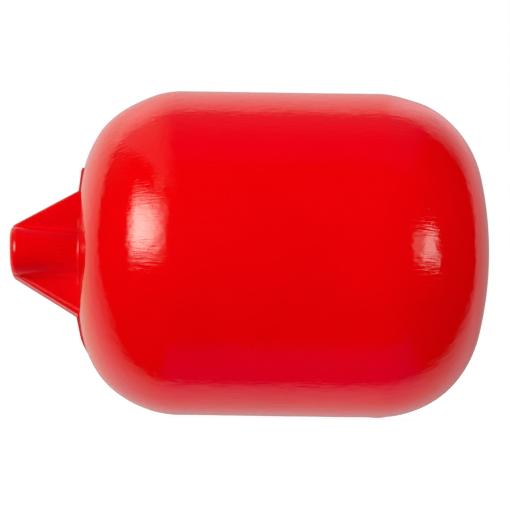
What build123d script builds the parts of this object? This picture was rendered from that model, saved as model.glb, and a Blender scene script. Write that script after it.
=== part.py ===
from build123d import *
import math
import os

# Cylindrical float for a tank or trough valve.
# Millimetres.  +Z up, float axis along X with the socket at its -X end.  The float
# is round and has no rest of its own: it is carried by its arm, so the origin is
# the middle of the mouth of the threaded bore that the arm screws into.

# ---- driving dimensions -------------------------------------------------------
body_diameter = 110.0        # outside of the barrel
body_length = 138.7          # flat end to the crown of the domed end
wall = 2.5                   # blow-moulded wall
knuckle_flat_end = 34.1      # shoulder radius at the flat end
knuckle_dome_end = 35.8      # shoulder radius at the domed end
crown_radius = 119.0         # crown of the domed end

socket_length = 24.05        # flat end to the rim of the domed mouth
socket_mouth_radius = 8.7    # outside of the tube at its mouth
socket_root_radius = 7.5     # outside of the tube at its root
socket_mouth_dome = 34.0     # the mouth is slightly domed
socket_mouth_lean = 1.15     # the dome's middle lies this far above the axis: the mouth leans
socket_lip = 2.2             # rounding of the lip
socket_flare = 1.3           # flare where the tube meets the flat end
neck_radius = 6.0            # neck hole in the shell, filled by the socket's stub

gusset_thickness = 3.2
gusset_edge_round = 0.5      # rounding along the slanted edges
rim_width_mouth = 1.8        # raised rim along the lower gusset's slanted edge, at the mouth
rim_width_foot = 2.6         # and at the foot
rim_height = 0.5             # above the web's -Y face
rim_wall = 0.35              # width of the rim's inner wall
rim_fall = 0.41              # fall of the rim towards the edge, for each millimetre
lip_width = 1.05             # leaning face of the edge itself, seen from the rim's side

insert_radius = 5.0          # brass bush
insert_length = 17.0
insert_recess = 0.6          # the bush sits this far inside the mouth
pocket_rim_fillet = 0.35     # rounding where the moulding meets the bush
thread_bore_radius = 3.25    # tapping bore for a 5/16 in rod thread
thread_depth = 15.0

# ---- places that follow from them ----------------------------------------------
body_radius = body_diameter / 2
mouth_x = -insert_recess                            # tip of the socket
end_x = mouth_x + socket_length                     # plane of the flat end
flat_radius = body_radius - knuckle_flat_end

# "along" planes: local x runs along the float's axis away from the flat end,
# local y is the radius, drawn upwards.
body_plane = Plane(origin=(end_x, 0, 0), x_dir=(1, 0, 0), z_dir=(0, -1, 0))
socket_plane = Plane(origin=(end_x, 0, 0), x_dir=(-1, 0, 0), z_dir=(0, 1, 0))
float_axis = Axis((end_x, 0, 0), (1, 0, 0))


def knuckle_to_crown(outer_r, knuckle_r, crown_r, tip):
    """Start, middle and end points of the two arcs of a domed end: the knuckle arc
    leaves the barrel, the crown arc ends on the axis at `tip`."""
    a = math.asin((outer_r - knuckle_r) / (crown_r - knuckle_r))
    crown_x = tip - crown_r
    kx = crown_x + (crown_r - knuckle_r) * math.cos(a)
    kr = outer_r - knuckle_r
    mid_k = a + (math.pi / 2 - a) / 2
    return (
        (kx, outer_r),
        (kx + knuckle_r * math.cos(mid_k), kr + knuckle_r * math.sin(mid_k)),
        (crown_x + crown_r * math.cos(a), crown_r * math.sin(a)),
        (crown_x + crown_r * math.cos(a / 2), crown_r * math.sin(a / 2)),
        (tip, 0.0),
    )


def knuckle_mid(start_x, flat_r, knuckle_r):
    """Middle point of the shoulder arc at the flat end."""
    s = math.sqrt(0.5)
    return (start_x + knuckle_r * (1 - s), flat_r + knuckle_r * s)


# ---- float body: one hollow shell, open only at its neck --------------------------
o1, o2, o3, o4, o5 = knuckle_to_crown(body_radius, knuckle_dome_end, crown_radius, body_length)
i1, i2, i3, i4, i5 = knuckle_to_crown(
    body_radius - wall, knuckle_dome_end - wall, crown_radius - wall, body_length - wall
)
with BuildPart() as float_body:
    with BuildSketch(body_plane):
        with BuildLine():
            Line((0, neck_radius), (0, flat_radius))
            ThreePointArc(
                (0, flat_radius),
                knuckle_mid(0, flat_radius, knuckle_flat_end),
                (knuckle_flat_end, body_radius),
            )
            Line((knuckle_flat_end, body_radius), o1)
            ThreePointArc(o1, o2, o3)
            ThreePointArc(o3, o4, o5)
            Line(o5, i5)
            ThreePointArc(i5, i4, i3)
            ThreePointArc(i3, i2, i1)
            Line(i1, (knuckle_flat_end, body_radius - wall))
            ThreePointArc(
                (knuckle_flat_end, body_radius - wall),
                knuckle_mid(wall, flat_radius, knuckle_flat_end - wall),
                (wall, flat_radius),
            )
            Line((wall, flat_radius), (wall, neck_radius))
            Line((wall, neck_radius), (0, neck_radius))
        make_face()
    revolve(axis=float_axis)
float_body.part.label = "float_body"

# The body's outside alone, as the surface that the gussets stand on.
with BuildPart() as body_outside:
    with BuildSketch(body_plane):
        with BuildLine():
            Line((0, 0), (0, flat_radius))
            ThreePointArc(
                (0, flat_radius),
                knuckle_mid(0, flat_radius, knuckle_flat_end),
                (knuckle_flat_end, body_radius),
            )
            Line((knuckle_flat_end, body_radius), (knuckle_flat_end, 0))
            Line((knuckle_flat_end, 0), (0, 0))
        make_face()
    revolve(axis=float_axis)

# ---- rod socket: tapered tube with a domed mouth, flared root and a stub -----------
rim_u = 23.2                 # where the tube has its mouth radius, just inside the lip
tube_end_u = socket_length + 3
tube_end_radius = socket_root_radius + (socket_mouth_radius - socket_root_radius) * tube_end_u / rim_u
dome_u = socket_length - math.sqrt(
    socket_mouth_dome**2 - insert_radius**2 - socket_mouth_lean**2
)                            # the dome's middle; the rim of the bush's pocket stands furthest out
with BuildPart() as socket_outside:
    with BuildSketch(socket_plane):
        with BuildLine():
            Polyline(
                (-wall, 0), (-wall, neck_radius), (0, neck_radius), (0, socket_root_radius),
                (tube_end_u, tube_end_radius), (tube_end_u, 0), close=True,
            )
        make_face()
    revolve(axis=float_axis)
    with Locations((end_x - dome_u, 0, socket_mouth_lean)):
        Sphere(socket_mouth_dome, mode=Mode.INTERSECT)
    lip = socket_outside.edges().filter_by(
        lambda e: max(e.position_at(t).X for t in (0, 0.3, 0.6, 1)) < mouth_x + 2.5
    )
    fillet(lip, radius=socket_lip)

with BuildPart() as root_flare:
    with BuildSketch(socket_plane):
        with BuildLine():
            Line((0, socket_root_radius - 1.0), (0, socket_root_radius + socket_flare))
            RadiusArc(
                (0, socket_root_radius + socket_flare),
                (socket_flare, socket_root_radius + 0.1),
                -socket_flare,
            )
            Line((socket_flare, socket_root_radius + 0.1), (socket_flare, socket_root_radius - 1.0))
            Line((socket_flare, socket_root_radius - 1.0), (0, socket_root_radius - 1.0))
        make_face()
    revolve(axis=float_axis)

with BuildPart() as rod_socket:
    add(socket_outside.part)
    add(root_flare.part)
    # pocket for the bush, open at the mouth
    with BuildSketch(Plane(origin=(mouth_x - 2, 0, 0), x_dir=(0, 1, 0), z_dir=(1, 0, 0))):
        Circle(insert_radius)
    extrude(amount=2 + insert_recess + insert_length, mode=Mode.SUBTRACT)
    pocket_rim = rod_socket.edges().filter_by(
        lambda e: max(abs(e.position_at(t).X - mouth_x) for t in (0, 0.3, 0.6, 1)) < 0.5
        and abs(math.hypot(e.position_at(0.3).Y, e.position_at(0.3).Z) - insert_radius) < 0.02
    )
    fillet(pocket_rim, radius=pocket_rim_fillet)
rod_socket.part.label = "rod_socket"

# ---- gussets: one above and one below the socket -----------------------------------
# profile points: distance out from the flat end, radius
upper_profile = [
    (23.0, 5.5),      # inside the tube's wall at the mouth
    (22.6, 8.92),     # corner at the mouth
    (1.05, 20.73),    # foot of the slanted edge
    (0.65, 23.8),     # low rib on the shoulder
    (0.2, 27.5),
    (-0.2, 28.5),     # its end
    (-3.0, 28.8),     # inside the shell
    (-3.0, 5.5),
]
lower_profile = [
    (23.0, 5.5),
    (22.3, 9.58),
    (1.2, 22.35),
    (0.7, 24.6),      # the lower rib is longer and runs out on the shoulder
    (0.0, 27.9),
    (-0.5, 29.9),
    (-1.4, 32.1),
    (-2.7, 34.5),
    (-4.5, 34.5),
    (-4.5, 5.5),
]
# label, side (1 above the socket, -1 below), profile, raised rim on the -Y face
gusset_table = [
    ("upper_gusset", 1, upper_profile, False),
    ("lower_gusset", -1, lower_profile, True),
]
# The tube, its flare and the body are cut away from each web, so each gusset stands on
# them face to face.
with BuildPart() as plain_tube:
    with BuildSketch(socket_plane):
        with BuildLine():
            Polyline(
                (-1, 0), (-1, socket_root_radius), (0, socket_root_radius),
                (rim_u, socket_mouth_radius), (rim_u, 0), close=True,
            )
        make_face()
    revolve(axis=float_axis)

gussets = {}
for label, side, profile, rimmed in gusset_table:
    # local x runs out from the flat end, local y is the radius
    web_plane = Plane(origin=(end_x, 0, 0), x_dir=(-1, 0, 0), z_dir=(0, side, 0))
    corner = web_plane.from_local_coords(Vector(*profile[1], 0))
    foot = web_plane.from_local_coords(Vector(*profile[2], 0))
    slant = (foot - corner).normalized()
    inward = Vector(slant.Z, 0, -slant.X) * side       # across the slanted edge, into the web

    def across(point):
        """Distance of a point from the slanted edge, into the web."""
        return (point - corner).dot(inward)

    def runs_along(edge):
        return edge.length > 15 and abs(edge.tangent_at(0.5).dot(slant)) > 0.999

    with BuildPart() as gusset:
        with BuildSketch(web_plane):
            with BuildLine():
                Polyline(*profile, close=True)
            make_face()
        extrude(amount=gusset_thickness / 2, both=True)
        if rimmed:
            # raised rim on the -Y face and the leaning face of the edge, each drawn
            # across its own line: into the web, towards -Y
            face = gusset_thickness / 2
            rim_end = foot + inward * rim_width_foot
            rim_run = (rim_end - corner - inward * rim_width_mouth).normalized()
            rim_inward = Vector(rim_run.Z, 0, -rim_run.X) * side
            reach = (foot - corner).length
            with BuildSketch(Plane(rim_end, x_dir=rim_inward, z_dir=rim_run)):
                with BuildLine():
                    Polyline(
                        (rim_wall / 2, face - 0.4), (rim_wall / 2, face),
                        (-rim_wall / 2, face + rim_height),
                        (-rim_wall / 2 - 1.5, face + rim_height - 1.5 * rim_fall),
                        (-rim_wall / 2 - 1.5, face - 0.4), close=True,
                    )
                make_face()
            extrude(amount=-reach)
            lean = lip_width / (2 * face)
            with BuildSketch(Plane(foot, x_dir=inward, z_dir=slant)):
                with BuildLine():
                    Polyline(
                        (-0.3 * lean, -face - 0.3), ((2 * face + 1) * lean, face + 1),
                        (-1, face + 1), (-1, -face - 0.3), close=True,
                    )
                make_face()
            extrude(amount=-reach - 1, mode=Mode.SUBTRACT)
        else:
            outer_edges = gusset.edges().filter_by(
                lambda e: runs_along(e) and abs(across(e.position_at(0.5))) < 0.05
            )
            fillet(outer_edges, radius=gusset_edge_round)
        add(body_outside.part, mode=Mode.SUBTRACT)
        add(plain_tube.part, mode=Mode.SUBTRACT)
        add(root_flare.part, mode=Mode.SUBTRACT)
    gusset.part.label = label
    gussets[label] = gusset.part

# ---- threaded insert: brass bush with a blind bore -----------------------------------
with BuildPart() as threaded_insert:
    with BuildSketch(Plane(origin=(0, 0, 0), x_dir=(0, 1, 0), z_dir=(1, 0, 0))):
        Circle(insert_radius)
    extrude(amount=insert_length)
    with BuildSketch(Plane(origin=(0, 0, 0), x_dir=(0, 1, 0), z_dir=(1, 0, 0))):
        Circle(thread_bore_radius)
    extrude(amount=thread_depth, mode=Mode.SUBTRACT)
threaded_insert.part.label = "threaded_insert"

os.makedirs("parts", exist_ok=True)
export_step(float_body.part, "parts/float_body.step")
export_step(rod_socket.part, "parts/rod_socket.step")
for label, gusset_part in gussets.items():
    export_step(gusset_part, f"parts/{label}.step")
export_step(threaded_insert.part, "parts/threaded_insert.step")
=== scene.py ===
import math

import bmesh
import bpy
import numpy as np
from mathutils import Matrix, Vector


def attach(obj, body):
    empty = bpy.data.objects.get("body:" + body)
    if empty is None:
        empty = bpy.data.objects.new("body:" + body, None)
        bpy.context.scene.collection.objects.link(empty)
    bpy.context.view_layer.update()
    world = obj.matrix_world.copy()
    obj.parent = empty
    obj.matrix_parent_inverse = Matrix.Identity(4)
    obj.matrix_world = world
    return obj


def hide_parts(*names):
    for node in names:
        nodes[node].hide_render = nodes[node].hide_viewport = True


# Glossy red cylindrical float with a tapered rod socket, two gussets and a brass
# threaded bush.  Metres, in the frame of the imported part: the float's axis is X,
# the socket is at its -X end, the gussets stand in the XZ plane.

MM = 0.001
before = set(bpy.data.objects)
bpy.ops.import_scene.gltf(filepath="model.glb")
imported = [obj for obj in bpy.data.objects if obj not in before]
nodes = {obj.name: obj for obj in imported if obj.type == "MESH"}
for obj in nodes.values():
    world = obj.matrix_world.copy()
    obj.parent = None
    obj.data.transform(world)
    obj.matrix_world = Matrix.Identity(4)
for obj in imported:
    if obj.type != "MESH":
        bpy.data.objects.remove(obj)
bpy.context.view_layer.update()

# ---- dimensions (mm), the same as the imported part's ---------------------------------
BODY_R = 55.0
END_X = 23.45                # plane of the flat end
TIP_X = 162.15               # crown of the domed end
WALL = 2.5
NECK_R = 6.0
FLAT_R = 20.9
KNUCKLE_FLAT = 34.1
KNUCKLE_DOME = 35.8
CROWN_R = 119.0
INSERT_R = 5.0
INSERT_LEN = 17.0
BORE_R = 3.25                # crest of the internal thread
THREAD_DEPTH = 15.0
ROOT_R = 7.5                 # outside of the socket's tube at its root
TUBE_TAPER = 1.2 / 23.2      # and how it widens towards the mouth
WEB_HALF = 1.6               # half the gussets' thickness
PITCH = 25.4 / 18            # 5/16 in Whitworth rod thread
SEAM_HEIGHT = 0.05           # parting line left by the two mould halves
SEAM_WIDTH = 0.34


# =====================================================================================
#  meshes
# =====================================================================================
def mesh_object(name, verts, faces, smooth=True):
    me = bpy.data.meshes.new(name)
    me.from_pydata([tuple(v) for v in verts], [], faces)
    me.validate()
    me.update()
    me.polygons.foreach_set("use_smooth", [smooth] * len(me.polygons))
    o = bpy.data.objects.new(name, me)
    bpy.context.scene.collection.objects.link(o)
    return o


def arc(cx, cr, r, a0, a1, n):
    """Points (x, r) on an arc, angles in degrees from +x towards +r, both ends included."""
    a = np.radians(np.linspace(a0, a1, n))
    return np.stack([cx + r * np.cos(a), cr + r * np.sin(a)], 1)


def ring_grid(rings, angles, offset_of=None):
    """Vertices of a lathe: one ring per (x, r), y = r sin a, z = r cos a."""
    x = np.repeat(rings[:, 0:1], len(angles), 1)
    y = rings[:, 1:2] * np.sin(angles)[None]
    z = rings[:, 1:2] * np.cos(angles)[None]
    return np.stack([x, y, z], 2)


def strips(first_a, first_b, n, flip=False):
    """Quads between two rings of n vertices."""
    out = []
    for j in range(n):
        k = (j + 1) % n
        q = (first_a + j, first_a + k, first_b + k, first_b + j)
        out.append(q[::-1] if flip else q)
    return out


# ---- float body: closed shell with its neck hole --------------------------------------
crown_angle = math.degrees(math.asin((BODY_R - KNUCKLE_DOME) / (CROWN_R - KNUCKLE_DOME)))
crown_x = TIP_X - CROWN_R
dome_x = crown_x + (CROWN_R - KNUCKLE_DOME) * math.cos(math.radians(crown_angle))
flat_knuckle_x = END_X + KNUCKLE_FLAT


def body_profile(inset, n_flat, n_knuckle, n_barrel, n_dome, crown_steps):
    """(x, r) rings from the neck over the barrel to close to the crown's pole."""
    end = END_X + inset
    rows = [np.stack([np.full(n_flat, end), np.linspace(NECK_R, FLAT_R, n_flat)], 1)]
    rows.append(arc(flat_knuckle_x, FLAT_R, KNUCKLE_FLAT - inset, 180, 90, n_knuckle)[1:])
    rows.append(
        np.stack(
            [np.linspace(flat_knuckle_x, dome_x, n_barrel), np.full(n_barrel, BODY_R - inset)], 1
        )[1:]
    )
    rows.append(
        arc(dome_x, BODY_R - KNUCKLE_DOME, KNUCKLE_DOME - inset, 90, crown_angle, n_dome)[1:]
    )
    a = np.radians(crown_angle * np.array(crown_steps))
    r = CROWN_R - inset
    rows.append(np.stack([crown_x + r * np.cos(a), r * np.sin(a)], 1))
    return np.concatenate(rows)


# angles: even all round, with closer steps where the parting line runs (top and bottom)
close = np.array([0.0, 0.0022, 0.0045, 0.007, 0.0105, 0.016, 0.025, 0.04, 0.062])
half = np.concatenate([close, np.linspace(0.09, math.pi - 0.09, 106), math.pi - close[::-1]])
angles = np.concatenate([half, math.pi + half[1:-1]])
n_ang = len(angles)

crown_steps = np.concatenate(
    [np.linspace(0.96, 0.2, 20), [0.165, 0.13, 0.1, 0.075, 0.055, 0.04, 0.027, 0.016, 0.008]]
)
outer = body_profile(0.0, 12, 56, 46, 56, crown_steps)
inner = body_profile(WALL, 4, 14, 6, 14, np.linspace(0.85, 0.1, 6))

# outward normal of each outer ring, in (x, r)
tangent = np.gradient(outer, axis=0)
normal = np.stack([-tangent[:, 1], tangent[:, 0]], 1)
normal /= np.linalg.norm(normal, axis=1)[:, None]

grid = ring_grid(outer, angles)
ring_r = outer[:, 1][:, None]
ring_x = outer[:, 0][:, None]

# slow unevenness of a blown wall, a few hundredths of a millimetre
rng = np.random.default_rng(11)
swell = np.zeros((len(outer), n_ang))
for _ in range(26):
    turns = rng.integers(2, 17)
    wave = rng.uniform(-1, 1) * 0.26
    amount = 0.022 / (1.0 + 0.16 * turns + 9.0 * abs(wave))
    swell += amount * np.sin(turns * angles[None] + wave * ring_x + rng.uniform(0, 2 * math.pi))
swell *= np.clip((ring_r - 14.0) / 22.0, 0, 1)

# the mould's lower corners are a little fuller than its upper ones, which are flatter
# where they leave the barrel
lean_of = np.degrees(np.arctan2(np.abs(normal[:, 0]), normal[:, 1]))[:, None]    # 0 on the barrel, 90 on the end
fuller = np.where(
    ring_x > 90.0,
    0.30 * np.exp(-(((lean_of - 40.0) / 20.0) ** 2)), 0.28 * np.exp(-(((lean_of - 49.0) / 15.0) ** 2)),
)
swell += fuller * np.clip(-np.cos(angles)[None], 0, 1) ** 6
flatter = np.where(
    ring_x > 90.0,
    -0.46 * np.exp(-(((lean_of - 15.5) / 9.5) ** 2)),
    -0.37 * np.exp(-(((lean_of - 25.0) / 12.0) ** 2)) + 0.22 * np.exp(-(((lean_of - 51.0) / 8.0) ** 2)),
)
swell += flatter * np.clip(np.cos(angles)[None], 0, 1) ** 6

# parting line: a fine raised seam in the XZ plane, uneven in height, with a small
# flash left near the bottom of the domed end
along = np.cumsum(np.r_[0, np.linalg.norm(np.diff(outer, axis=0), axis=1)])[:, None]
uneven = 1.0 + 0.25 * np.sin(0.31 * along + 1.0) + 0.2 * np.sin(0.83 * along + 2.1)
below = np.cos(angles)[None] < 0
seam_h = SEAM_HEIGHT * uneven * np.where(ring_r > 24.0, 1.0, 0.55)
seam_h = np.where(ring_x > END_X + 0.05, seam_h, 0.0)
flash = 0.15 * np.exp(-(((ring_x - 125.0) / 2.6) ** 4))
seam_h = seam_h + np.where(below, flash, 0.0)
seam = seam_h * np.exp(-((grid[:, :, 1] / SEAM_WIDTH) ** 2))

push = swell + seam
grid[:, :, 0] += normal[:, 0:1] * push
grid[:, :, 1] += normal[:, 1:2] * push * np.sin(angles)[None]
grid[:, :, 2] += normal[:, 1:2] * push * np.cos(angles)[None]

inner_grid = ring_grid(inner, angles)
n_out, n_in = len(outer), len(inner)
verts = np.concatenate([grid.reshape(-1, 3), inner_grid.reshape(-1, 3)])
pole_out, pole_in = len(verts), len(verts) + 1
verts = np.concatenate([verts, [[TIP_X + SEAM_HEIGHT * 0.55, 0, 0], [TIP_X - WALL, 0, 0]]]) * MM
faces = []
for i in range(n_out - 1):
    faces += strips(i * n_ang, (i + 1) * n_ang, n_ang)
last = (n_out - 1) * n_ang
faces += [(last + j, last + (j + 1) % n_ang, pole_out) for j in range(n_ang)]
base = n_out * n_ang
for i in range(n_in - 1):
    faces += strips(base + i * n_ang, base + (i + 1) * n_ang, n_ang, flip=True)
last_in = base + (n_in - 1) * n_ang
faces += [(last_in + (j + 1) % n_ang, last_in + j, pole_in) for j in range(n_ang)]
faces += strips(0, base, n_ang, flip=True)          # wall of the neck hole
body = mesh_object("float_shell", verts, faces)

# ---- threaded bush: chamfered mouth and a cut internal thread --------------------------
n_turn = 72
turn = np.linspace(0, 2 * math.pi, n_turn, endpoint=False)
steps = np.linspace(0.0, THREAD_DEPTH, 15 * 9 + 1)
phase = (steps[:, None] / PITCH - turn[None] / (2 * math.pi)) % 1.0
tooth = np.clip(np.abs(phase - 0.5) * 2 * 1.18 - 0.09, 0, 1)     # rounded roots and crests
tooth = tooth * tooth * (3 - 2 * tooth) * 0.35 + tooth * 0.65
depth = 0.64 * PITCH * np.clip((THREAD_DEPTH - 0.6 - steps) / 1.2, 0, 1)[:, None]
bore = BORE_R + depth * tooth
mouth = BORE_R + np.clip(1.05 - steps, 0, 1.05)[:, None]
bore = np.maximum(bore, mouth)

rows = []                     # (x, r for each angle)
rows.append((INSERT_LEN, np.full(n_turn, 0.35)))
rows.append((INSERT_LEN, np.full(n_turn, INSERT_R - 0.4)))
rows.append((INSERT_LEN - 0.4, np.full(n_turn, INSERT_R)))
rows += [(x, np.full(n_turn, INSERT_R)) for x in np.linspace(INSERT_LEN - 0.8, 0.35, 10)]
rows.append((0.18, np.full(n_turn, INSERT_R)))
rows.append((0.06, np.full(n_turn, INSERT_R - 0.05)))
rows.append((0.0, np.full(n_turn, INSERT_R - 0.16)))
rows += [(0.0, np.full(n_turn, r)) for r in np.linspace(INSERT_R - 0.3, BORE_R + 1.2, 5)]
rows += [(x, b) for x, b in zip(steps, bore)]
rows.append((THREAD_DEPTH + 0.35, np.full(n_turn, 2.2)))
rows.append((THREAD_DEPTH + 0.75, np.full(n_turn, 0.3)))
v = []
for x, r in rows:
    v.append(np.stack([np.full(n_turn, x), r * np.sin(turn), r * np.cos(turn)], 1))
v = np.concatenate(v + [np.array([[INSERT_LEN, 0, 0], [THREAD_DEPTH + 0.8, 0, 0]])])
f = []
for i in range(len(rows) - 1):
    f += strips(i * n_turn, (i + 1) * n_turn, n_turn, flip=True)
end_pole, bore_pole = len(rows) * n_turn, len(rows) * n_turn + 1
f += [(j, (j + 1) % n_turn, end_pole) for j in range(n_turn)]
tail = (len(rows) - 1) * n_turn
f += [(tail + (j + 1) % n_turn, tail + j, bore_pole) for j in range(n_turn)]
bush = mesh_object("threaded_bush", v * MM, f)

# ---- fillets along the tube, from next to nothing at the mouth to a wide sweep at the root
fillet_table = [
    # side (1 above, -1 below), radius at the mouth, growth to the root, power of the growth
    (1, 0.2, 4.0, 1.8),
    (-1, 0.25, 4.6, 1.5),
]
bm = bmesh.new()
out_from_end = np.linspace(21.4, -0.3, 46)
n_arc = 9
for side, least, growth, power in fillet_table:
    for face_y in (-1, 1):
        rows = []
        for u in out_from_end:
            f = least + growth * min(1.0, (21.4 - u) / 21.4) ** power
            tube_r = ROOT_R + TUBE_TAPER * u
            cy, cz = WEB_HALF + f, math.sqrt((tube_r + f) ** 2 - (WEB_HALF + f) ** 2)
            a = np.linspace(math.atan2(-cz, -cy), -math.pi, n_arc)
            ring = [(cy + f * math.cos(t), cz + f * math.sin(t)) for t in a]
            ring.append((WEB_HALF - 0.08, math.sqrt(tube_r**2 - WEB_HALF**2) - 0.12))
            rows.append([
                bm.verts.new(((END_X - u) * MM, face_y * py * MM, side * pz * MM)) for py, pz in ring
            ])
        n_ring = n_arc + 1
        made = []
        for r0, r1 in zip(rows, rows[1:]):
            for k in range(n_ring):
                j = (k + 1) % n_ring
                quad = bm.faces.new((r0[k], r0[j], r1[j], r1[k]))
                quad.smooth = True
                made.append(quad)
                if k >= n_arc - 1:                       # the two faces buried in tube and web
                    for e in quad.edges:
                        if {e.verts[0], e.verts[1]} in (
                            {r0[0], r1[0]}, {r0[n_arc - 1], r1[n_arc - 1]}
                        ):
                            e.smooth = False
        for cap in (rows[0], rows[-1]):
            lid = bm.faces.new(cap)
            for e in lid.edges:
                e.smooth = False
            made.append(lid)
        bmesh.ops.recalc_face_normals(bm, faces=made)

# at the mouth, each gusset's corner runs out into the rounded lip
corner_table = [
    # side, points from the lip to the corner (out from the flat end, radius), lean of the edge's face
    (1, [(23.2, 8.1), (23.05, 8.4), (22.88, 8.65), (22.74, 8.8), (22.58, 8.9)], 0.0),
    (-1, [(23.4, 7.1), (23.2, 7.9), (22.98, 8.6), (22.82, 9.02), (22.6, 9.33), (22.3, 9.55)], 1.05),
]
across_y = [(-1.5, 1.6), (-1.5, 0.3), (-1.41, 0.09), (-1.2, 0.0), (-0.4, 0.0),
            (0.4, 0.0), (1.2, 0.0), (1.41, 0.09), (1.5, 0.3), (1.5, 1.6)]     # y, depth below the surface
for side, points, lean in corner_table:
    rows = []
    for i, (u, r) in enumerate(points):
        ring = []
        for py, sink in across_y:
            d = sink + lean * i / (len(points) - 1) * (WEB_HALF - py) / (2 * WEB_HALF)
            ring.append(
                bm.verts.new(((END_X - u + 0.5178 * d) * MM, py * MM, side * (r - 0.8555 * d) * MM))
            )
        rows.append(ring)
    made = []
    for r0, r1 in zip(rows, rows[1:]):
        for k in range(len(across_y)):
            j = (k + 1) % len(across_y)
            quad = bm.faces.new((r0[k], r0[j], r1[j], r1[k]))
            quad.smooth = 0 < k < len(across_y) - 2
            made.append(quad)
    made += [bm.faces.new(rows[0]), bm.faces.new(rows[-1])]
    bmesh.ops.recalc_face_normals(bm, faces=made)
fillet_mesh = bpy.data.meshes.new("gusset_fillets")
bm.to_mesh(fillet_mesh)
bm.free()
fillets = bpy.data.objects.new("gusset_fillets", fillet_mesh)
bpy.context.scene.collection.objects.link(fillets)


# =====================================================================================
#  shader graphs
# =====================================================================================
class Graph:
    """Short hand for building a node tree."""

    def __init__(self, tree):
        self.tree = tree
        tree.nodes.clear()

    def put(self, socket, value):
        if isinstance(value, bpy.types.NodeSocket):
            self.tree.links.new(value, socket)
        else:
            socket.default_value = value

    def add(self, kind, ins=None, **props):
        n = self.tree.nodes.new(kind)
        for k, value in props.items():
            setattr(n, k, value)
        for k, value in (ins or {}).items():
            self.put(n.inputs[k], value)
        return n

    def math(self, op, *args, clamp=False):
        n = self.tree.nodes.new("ShaderNodeMath")
        n.operation = op
        n.use_clamp = clamp
        for i, value in enumerate(args):
            self.put(n.inputs[i], value)
        return n.outputs[0]

    def mul(self, *args):
        out = args[0]
        for a in args[1:]:
            out = self.math("MULTIPLY", out, a)
        return out

    def sum(self, *args):
        out = args[0]
        for a in args[1:]:
            out = self.math("ADD", out, a)
        return out

    def step(self, x, lo, hi, a=0.0, b=1.0):
        """Smooth step of x from lo to hi, going from a to b."""
        n = self.add(
            "ShaderNodeMapRange",
            {"Value": x, "From Min": lo, "From Max": hi, "To Min": a, "To Max": b},
            interpolation_type="SMOOTHSTEP",
        )
        return n.outputs["Result"]

    def bell(self, x, centre, width):
        """1 at the centre, falling off on both sides."""
        d = self.math("DIVIDE", self.math("SUBTRACT", x, centre), width)
        return self.math("EXPONENT", self.mul(d, d, -1.0))

    def vec(self, x, y, z):
        return self.add("ShaderNodeCombineXYZ", {"X": x, "Y": y, "Z": z}).outputs[0]

    def noise(self, vector, scale, detail=2.0, rough=0.5, lac=2.0):
        n = self.add(
            "ShaderNodeTexNoise",
            {"Vector": vector, "Scale": scale, "Detail": detail, "Roughness": rough,
             "Lacunarity": lac},
        )
        return n.outputs[0]


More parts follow.
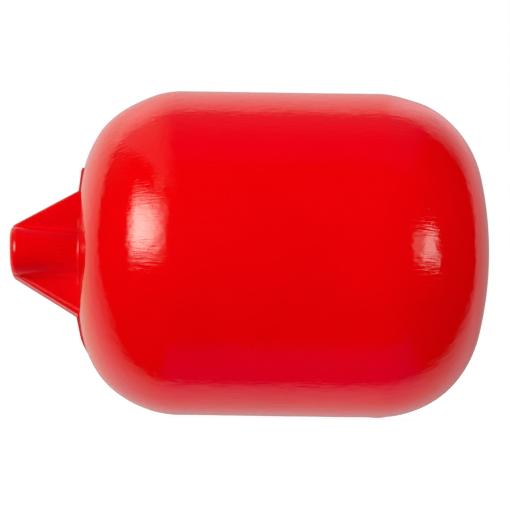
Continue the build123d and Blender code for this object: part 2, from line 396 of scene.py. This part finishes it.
def red_polyethylene(name, rough_low, die_height, wave_height, trim_with_painted_light, depth=1.0, blue=0.0019, gloss=0.5):
    """Glossy blow-moulded polyethylene: fine die lines along the barrel, a slightly wavy
    skin, a few pimples and faint scuffs.  With the flag after the wave height set (socket
    and gussets), the gussets' slanted edges are rougher and painted darker as painted
    shade, the lower gusset's raised rim gets painted shade on its slope and painted
    highlights along its inner line and its lip, and the flare at the socket's root, the
    tube's underside and its mouth are satin.  `depth` and `blue` set the colour,
    `gloss` the specular level."""
    m = bpy.data.materials.new(name)
    m.use_nodes = True
    g = Graph(m.node_tree)
    place = g.add("ShaderNodeTexCoord").outputs["Object"]
    sep = g.add("ShaderNodeSeparateXYZ", {"Vector": place})
    x, y, z = sep.outputs
    rad = g.math("MAXIMUM", g.math("SQRT", g.sum(g.mul(y, y), g.mul(z, z))), 0.0005)
    ny, nz = g.math("DIVIDE", y, rad), g.math("DIVIDE", z, rad)

    # die lines: long along the axis, under a millimetre wide round the barrel
    die = g.noise(g.vec(g.mul(x, 200.0), g.mul(ny, 76.0), g.mul(nz, 76.0)), 1.0, 2.0, 0.5)
    die = g.mul(die, g.step(rad, 0.022, 0.045))
    wave = g.noise(place, 300.0, 1.0, 0.5)
    swell = g.noise(place, 120.0, 2.0, 0.5)
    peel = g.noise(place, 1100.0, 2.0, 0.5)
    cells = g.add(
        "ShaderNodeTexVoronoi", {"Vector": place, "Scale": 62.0, "Randomness": 1.0}, feature="F1"
    )
    chosen = g.add("ShaderNodeSeparateColor", {"Color": cells.outputs["Color"]}).outputs[0]
    pimple = g.mul(g.step(cells.outputs["Distance"], 0.042, 0.0), g.step(chosen, 0.74, 0.75))
    scuff_area = g.step(g.noise(place, 34.0, 2.0, 0.55), 0.58, 0.72)
    scratch = g.noise(
        g.vec(g.mul(x, 180.0), g.mul(y, 900.0), g.mul(z, 1700.0)), 1.0, 3.0, 0.65
    )
    scratch = g.step(scratch, 0.56, 0.66)
    scuff = g.mul(scuff_area, scratch)
    height = g.sum(
        g.mul(die, die_height), g.mul(wave, wave_height), g.mul(swell, 5.0e-5), g.mul(peel, 2.2e-6),
        g.mul(pimple, 2.4e-5), g.mul(scuff, -4.0e-7),
    )
    bump = g.add("ShaderNodeBump", {"Strength": 1.0, "Distance": 1.0, "Height": height})

    tone = g.noise(place, 21.0, 3.0, 0.6)
    colour = g.add("ShaderNodeMix", {"Factor": g.step(tone, 0.3, 0.7)}, data_type="RGBA")
    colour.inputs[6].default_value = (0.800 * depth, 0.0002, 0.9 * blue, 1)
    colour.inputs[7].default_value = (0.850 * depth, 0.0004, 1.15 * blue, 1)
    tint = colour.outputs[2]
    rough = g.sum(
        g.mul(g.noise(place, 60.0, 3.0, 0.6), 0.05), g.mul(scuff, 0.03), rough_low
    )
    if trim_with_painted_light:
        # distance from each gusset's slanted edge into its web
        above = g.math(
            "SUBTRACT",
            g.mul(g.math("SUBTRACT", x, 0.00085), 0.4806),
            g.mul(g.math("SUBTRACT", z, 0.00892), 0.8770),
        )
        below = g.sum(
            g.mul(g.math("SUBTRACT", x, 0.00115), 0.5178), g.mul(g.sum(z, 0.00958), 0.8555)
        )
        web = g.step(g.math("ABSOLUTE", y), 0.0020, 0.0017)
        edge = g.mul(
            g.sum(
                g.mul(g.step(above, 0.0007, 0.0003), g.step(z, 0.0, 0.001)),
                g.mul(g.step(below, 0.0004, 0.0002), g.step(z, 0.0, -0.001)),
            ),
            web,
        )
        edge_noise = g.noise(g.vec(g.mul(x, 900.0), g.mul(y, 5000.0), g.mul(z, 900.0)), 1.0, 2.0, 0.6)
        cut = g.mul(edge, g.sum(g.mul(edge_noise, 0.8), 0.5))
        rough = g.sum(rough, g.mul(cut, 0.34))
        # painted shade: along the gussets' slanted edges the red is painted darker, unevenly, standing in for
        # the shade on their bevels
        darker = g.add("ShaderNodeMix", {"Factor": g.mul(cut, 0.8)}, data_type="RGBA")
        g.put(darker.inputs[6], tint)
        darker.inputs[7].default_value = (0.55, 0.0012, 0.0016, 1)
        tint = darker.outputs[2]
        # the raised rim, widening from the mouth to the foot: painted shade, a deeper red, on its slope, and
        # painted highlights, pale lines, along its inner line and its lip
        run = g.math(
            "SUBTRACT",
            g.mul(g.math("SUBTRACT", x, 0.00115), 0.8555), g.mul(g.sum(z, 0.00958), 0.5178),
        )
        past = g.math("SUBTRACT", below, g.sum(g.mul(run, 0.0324), 0.0018))
        rim = g.mul(
            g.step(z, 0.0, -0.001), g.step(y, 0.0, -0.0002),
            g.step(g.math("ABSOLUTE", y), 0.0028, 0.0024), g.step(run, 0.0248, 0.024),
            g.step(run, -0.0005, 0.0005),
        )
        # painted shade on the rim's slope, then a painted highlight along its inner line and one along its lip
        for share, base in (
            (g.mul(g.step(past, 0.0001, -0.0001), g.step(below, 0.0011, 0.0013),
                   g.sum(g.mul(edge_noise, 0.3), 0.8)), (0.70, 0.0004, 0.0022, 1)),
            (g.mul(g.bell(past, 0.00004, 0.00032), g.sum(g.mul(edge_noise, 0.4), 0.8)), (1.0, 0.065, 0.07, 1)),
            (g.mul(g.bell(below, 0.00095, 0.0003), g.step(run, 0.008, 0.017), g.sum(g.mul(edge_noise, 0.3), 0.3)),
             (1.0, 0.10, 0.10, 1)),
        ):
            rim_painted_shade_and_highlight = g.add("ShaderNodeMix", {"Factor": g.mul(share, rim)}, data_type="RGBA")
            g.put(rim_painted_shade_and_highlight.inputs[6], tint)
            rim_painted_shade_and_highlight.inputs[7].default_value = base
            tint = rim_painted_shade_and_highlight.outputs[2]
        satin = g.mul(g.step(x, END_X * MM - 0.0017, END_X * MM - 0.0011), g.step(rad, 0.0125, 0.0105))
        underside = g.mul(
            g.step(z, -0.0035, -0.006), g.step(x, -0.001, 0.003), g.step(rad, 0.0125, 0.011),
            g.step(g.math("ABSOLUTE", y), 0.0017, 0.0019),
        )
        lip = g.step(x, 0.0012, 0.0)
        rough = g.sum(rough, g.mul(satin, 0.24), g.mul(underside, 0.2), g.mul(lip, 0.25))
    shader = g.add(
        "ShaderNodeBsdfPrincipled",
        {
            "Base Color": tint,
            "Roughness": rough,
            "IOR": 1.5,
            "Specular IOR Level": gloss,
            "Sheen Weight": 0.27,
            "Sheen Roughness": 0.25,
            "Sheen Tint": (1.0, 0.03, 0.03, 1.0),
            "Normal": bump.outputs[0],
        },
    )
    out = g.add("ShaderNodeOutputMaterial")
    g.put(out.inputs["Surface"], shader.outputs[0])
    return m


def turned_brass(name):
    """Turned brass: concentric tool marks and slight tarnish."""
    m = bpy.data.materials.new(name)
    m.use_nodes = True
    g = Graph(m.node_tree)
    place = g.add("ShaderNodeTexCoord").outputs["Object"]
    sep = g.add("ShaderNodeSeparateXYZ", {"Vector": place})
    x, y, z = sep.outputs
    rad = g.math("SQRT", g.sum(g.mul(y, y), g.mul(z, z)))
    rings = g.noise(g.vec(g.mul(rad, 9000.0), g.mul(x, 5200.0), 0.0), 1.0, 2.0, 0.6)
    tarnish = g.noise(place, 620.0, 4.0, 0.6)
    bump = g.add(
        "ShaderNodeBump",
        {"Strength": 1.0, "Distance": 1.0,
         "Height": g.sum(g.mul(rings, 5.0e-6), g.mul(tarnish, 2.0e-6))},
    )
    colour = g.add("ShaderNodeMix", {"Factor": g.step(tarnish, 0.35, 0.72)}, data_type="RGBA")
    colour.inputs[6].default_value = (0.83, 0.60, 0.27, 1)
    colour.inputs[7].default_value = (0.52, 0.33, 0.12, 1)
    shader = g.add(
        "ShaderNodeBsdfPrincipled",
        {
            "Base Color": colour.outputs[2],
            "Metallic": 1.0,
            "Roughness": g.sum(g.mul(tarnish, 0.22), g.mul(rings, 0.12), 0.12),
            "Normal": bump.outputs[0],
        },
    )
    out = g.add("ShaderNodeOutputMaterial")
    g.put(out.inputs["Surface"], shader.outputs[0])
    return m


red = red_polyethylene("red_polyethylene", 0.045, 6.0e-5, 9.0e-5, False)
# the same red as the body, painted a little lighter for the webs as painted light and darker for the socket as
# painted shade, for the shade the body casts on the tube; the webs' red is also bluer
red_web = red_polyethylene("red_polyethylene_trimmed", 0.09, 0.0, 4.5e-5, True, 1.03, 0.0040)
red_socket = red_polyethylene("red_polyethylene_socket", 0.09, 0.0, 4.5e-5, True, 0.925, 0.0022, 0.34)
brass = turned_brass("turned_brass")

body.data.materials.append(red)
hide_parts("float_body")
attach(body, "root")

bush.data.materials.append(brass)
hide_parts("threaded_insert")
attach(bush, "root")

fillets.data.materials.append(red_web)
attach(fillets, "root")

for name, finish in (("rod_socket", red_socket), ("upper_gusset", red_web), ("lower_gusset", red_web)):
    node = nodes[name]
    node.data.materials.clear()
    node.data.materials.append(finish)


# =====================================================================================
#  stage: pale floor, studio surroundings, camera
# =====================================================================================
FLOOR_Z = -0.0556
floor_verts, floor_faces, side, cells = [], [], 5.0, 8
for i in range(cells + 1):
    for j in range(cells + 1):
        floor_verts.append(
            (side * (2 * i / cells - 1) + 0.08, side * (2 * j / cells - 1), FLOOR_Z)
        )
for i in range(cells):
    for j in range(cells):
        a = i * (cells + 1) + j
        floor_faces.append((a, a + cells + 1, a + cells + 2, a + 1))
floor = mesh_object("floor", floor_verts, floor_faces, smooth=False)
fm = bpy.data.materials.new("pale_floor")
fm.use_nodes = True
g = Graph(fm.node_tree)
spot = g.add("ShaderNodeSeparateXYZ", {"Vector": g.add("ShaderNodeTexCoord").outputs["Object"]})
fx, fy = g.math("SUBTRACT", spot.outputs[0], 0.09), spot.outputs[1]
far = g.math("SQRT", g.sum(g.mul(fx, fx), g.mul(fy, fy)))
glow = g.add("ShaderNodeEmission", {"Color": (1, 1, 1, 1), "Strength": g.step(far, 0.25, 1.1, 0.95, 1.06)})
card = g.add("ShaderNodeBsdfDiffuse", {"Color": (0.2, 0.2, 0.2, 1)})
both = g.add("ShaderNodeAddShader")
g.put(both.inputs[0], glow.outputs[0])
g.put(both.inputs[1], card.outputs[0])
g.put(g.add("ShaderNodeOutputMaterial").inputs["Surface"], both.outputs[0])
floor.data.materials.append(fm)
floor.visible_glossy = False
floor.visible_diffuse = False
floor.visible_shadow = False

world = bpy.data.worlds.new("studio")
bpy.context.scene.world = world
world.use_nodes = True
g = Graph(world.node_tree)
sep = g.add("ShaderNodeSeparateXYZ", {"Vector": g.add("ShaderNodeTexCoord").outputs["Generated"]})
dx, dy, dz = sep.outputs
back = g.math("MAXIMUM", dy, 0.02)
bu, bw = g.math("DIVIDE", dx, back), g.math("DIVIDE", dz, back)
az = g.math("MULTIPLY", g.math("ARCTAN2", dx, g.math("MULTIPLY", dy, -1.0)), 180 / math.pi)
el = g.math("MULTIPLY", g.math("ARCSINE", dz), 180 / math.pi)

# white sweep behind the float, wider towards the floor and cut at its upper left corner
low = g.math("MINIMUM", bw, 0.0)
right_edge = g.sum(
    g.step(bw, -0.1, -0.8, 1.14, 1.6), g.step(bw, -2.2, -3.2, 0.0, -0.6), g.step(bw, 0.2, 0.8, 0.0, -0.16)
)
left_edge = g.sum(g.mul(low, 1.43), -2.9)
top_edge = g.sum(
    g.step(bu, -0.8, -1.0, 1.62, 1.26), g.step(bu, 0.2, 0.45, 0.0, -0.15),
    g.mul(g.math("MINIMUM", g.sum(bu, 1.0), 0.0), 0.27),
)
sweep = g.mul(
    g.step(g.math("SUBTRACT", bu, left_edge), -0.25, 0.2),
    g.step(g.math("SUBTRACT", bu, right_edge), 0.13, -0.13),
    g.step(bw, -3.3, -2.95), g.step(g.math("SUBTRACT", bw, top_edge), 0.08, -0.08),
    g.step(dy, 0.02, 0.06),
)
# it is brightest a little to the left, darker along its foot, to the right and far below
glow_left = g.mul(
    g.bell(bu, -0.8, 0.55), g.step(bw, 1.0, 0.3, 0.3, 1.0), g.step(bw, -1.2, -0.4, 0.4, 1.0), 0.24
)
height_fall = g.mul(
    g.step(bw, 0.9, 1.7, 1.12, 0.88), g.step(bw, -0.4, 0.5, 0.9, 1.0), g.step(bw, -0.8, -3.1, 1.0, 0.57)
)
upper = g.step(bw, -0.35, 0.1)
right_fall = g.sum(
    g.mul(upper, g.step(bu, 0.15, 0.8, 1.0, 0.5)),
    g.mul(g.math("SUBTRACT", 1.0, upper), g.step(bu, 0.6, 1.3, 1.0, 0.74)),
)
foot = g.math(
    "SUBTRACT", 1.0,
    g.mul(g.bell(bw, 0.0, 0.25), g.step(bu, -0.3, 0.1), g.step(bu, 0.9, 0.3), 0.5),
)
right_lift = g.sum(g.mul(g.step(bu, 0.05, 0.25), g.step(bw, -0.1, 0.25, -0.13, 0.4)), 1.0)
sweep = g.mul(
    sweep, g.sum(glow_left, 0.64), height_fall, right_fall, foot, right_lift,
    g.sum(g.mul(g.step(bw, 0.4, 0.75), g.step(bu, 0.65, 0.25), g.step(bu, -0.8, -0.25, 0.0, 0.15)), 1.0),
    g.step(bu, -1.7, -2.8, 1.0, 0.6),
)
# its white is a little warm at the top and the left
warm = g.mul(
    sweep,
    g.sum(
        g.mul(g.step(bw, 0.1, 0.5), g.step(bu, 0.4, -0.2), 0.08),
        g.mul(g.step(bu, -0.2, -0.8), g.step(bw, -0.9, -0.3), 0.09),
        g.mul(g.bell(bu, -0.8, 0.6), g.bell(bw, -0.1, 0.22), 0.26),
    ),
)
# grey ceiling to the upper left, and a faint rim round the sweep
plane = g.sum(g.mul(dx, 0.742), g.mul(dy, 0.3627), g.mul(dz, 0.5637))
ceiling = g.mul(g.step(plane, -0.01, 0.05), g.step(dx, -0.06, -0.38), g.step(dz, 0.45, 0.6), 0.31)
rim_up = g.mul(
    g.step(dy, -0.12, 0.5), g.step(dz, 0.3, 0.7), g.step(sweep, 0.3, 0.0), g.step(dx, 0.5, 0.2), 0.2
)
rim_all = g.mul(
    g.step(dy, -0.42, -0.25), g.step(dy, 0.6, 0.45), g.step(g.math("ABSOLUTE", dz), 0.55, 0.8),
    g.step(dx, -0.3, -0.1), g.step(dx, 0.58, 0.38), g.step(dz, 0.9, 0.6, 0.6, 1.0),
)
# key softbox on the left, uneven, with a faint spill above it; smaller one on the right
key = g.mul(
    g.step(g.sum(az, g.mul(g.math("MAXIMUM", g.sum(el, -4.0), 0.0), 0.2)), -63.5, -50.0),
    g.step(az, -13.0, -45.0), g.step(el, -8.5, 13.0), g.step(el, 42.5, 17.0), 13.4,
)
spill = g.mul(
    g.step(az, -45.0, -39.0), g.step(az, -23.0, -29.0), g.step(el, 43.0, 46.0),
    g.step(el, 53.0, 49.0), 0.7,
)
side_box = g.sum(
    g.mul(
        g.step(g.math("SUBTRACT", az, g.mul(el, 0.25)), 44.5, 51.0),
        g.step(g.sum(az, g.mul(el, 0.4)), 71.0, 66.0),
        g.step(el, -8.5, 0.0), g.step(el, 19.0, 14.0), 4.4,
    ),
    g.mul(
        g.step(az, 35.0, 40.0), g.step(az, 67.5, 61.5), g.step(el, -5.0, 3.0), g.step(el, 19.0, 13.0), 1.5,
    ),
)
boxes = g.sum(key, spill)
level = g.sum(sweep, ceiling, g.mul(rim_up, 0.6))
light = g.vec(
    g.sum(level, g.mul(boxes, 0.6), g.mul(side_box, 0.5), g.mul(rim_all, 0.10)),
    g.sum(level, boxes, side_box),
    g.sum(
        level, g.mul(boxes, 0.87), g.mul(side_box, 0.87), g.mul(rim_all, 0.20),
        g.mul(warm, -1.0),
    ),
)
surroundings = g.add("ShaderNodeBackground", {"Color": light, "Strength": 1.0})
paper = g.add("ShaderNodeBackground", {"Color": (1, 1, 1, 1), "Strength": 1.0})
pick = g.add("ShaderNodeMixShader", {0: g.add("ShaderNodeLightPath").outputs["Is Camera Ray"]})
g.put(pick.inputs[1], surroundings.outputs[0])
g.put(pick.inputs[2], paper.outputs[0])
g.put(g.add("ShaderNodeOutputWorld").inputs["Surface"], pick.outputs[0])

world.cycles_visibility.diffuse = False     # the soft lights below carry the diffuse light

# soft round lights: azimuth and elevation as seen from the float (azimuth 0 is the
# camera's side, negative is left), and power in watts
MIDDLE = Vector((0.0928, 0.0, 0.0))
for label, light_az, light_el, watts in (
    ("key_left", -39, 25, 17.65),
    ("upper_right", 39, 51, 13.45),
    ("bounce_left", -64, -48, 14.42),
    ("bounce_right", 77, -36, 14.18),
    ("back_left", -155, 18, 13.43),
    ("back_right", 160, 18, 12.02),
):
    a, e = math.radians(light_az), math.radians(light_el)
    towards = Vector((math.sin(a) * math.cos(e), -math.cos(a) * math.cos(e), math.sin(e)))
    lamp = bpy.data.lights.new(label, "AREA")
    lamp.shape = "DISK"
    lamp.size = 1.2
    lamp.energy = watts
    lamp.cycles.use_multiple_importance_sampling = False
    o = bpy.data.objects.new(label, lamp)
    bpy.context.scene.collection.objects.link(o)
    o.matrix_world = Matrix.Translation(MIDDLE + towards * 1.5) @ towards.to_track_quat(
        "Z", "Y"
    ).to_matrix().to_4x4()
    o.visible_camera = False
    o.visible_glossy = False

camera = bpy.data.objects.new("camera", bpy.data.cameras.new("camera"))
bpy.context.scene.collection.objects.link(camera)
camera.data.sensor_width = 36.0
camera.data.lens = 390.86
camera.data.clip_end = 50.0
camera.matrix_world = (
    Matrix.Translation((0.082647, -1.8828, -0.00032))
    @ Matrix.Rotation(math.radians(90), 4, "X")
    @ Matrix.Rotation(math.radians(0.757), 4, "Z")
)
bpy.context.scene.camera = camera
bpy.context.scene.view_settings.view_transform = "Standard"
bpy.context.scene.view_settings.look = "None"
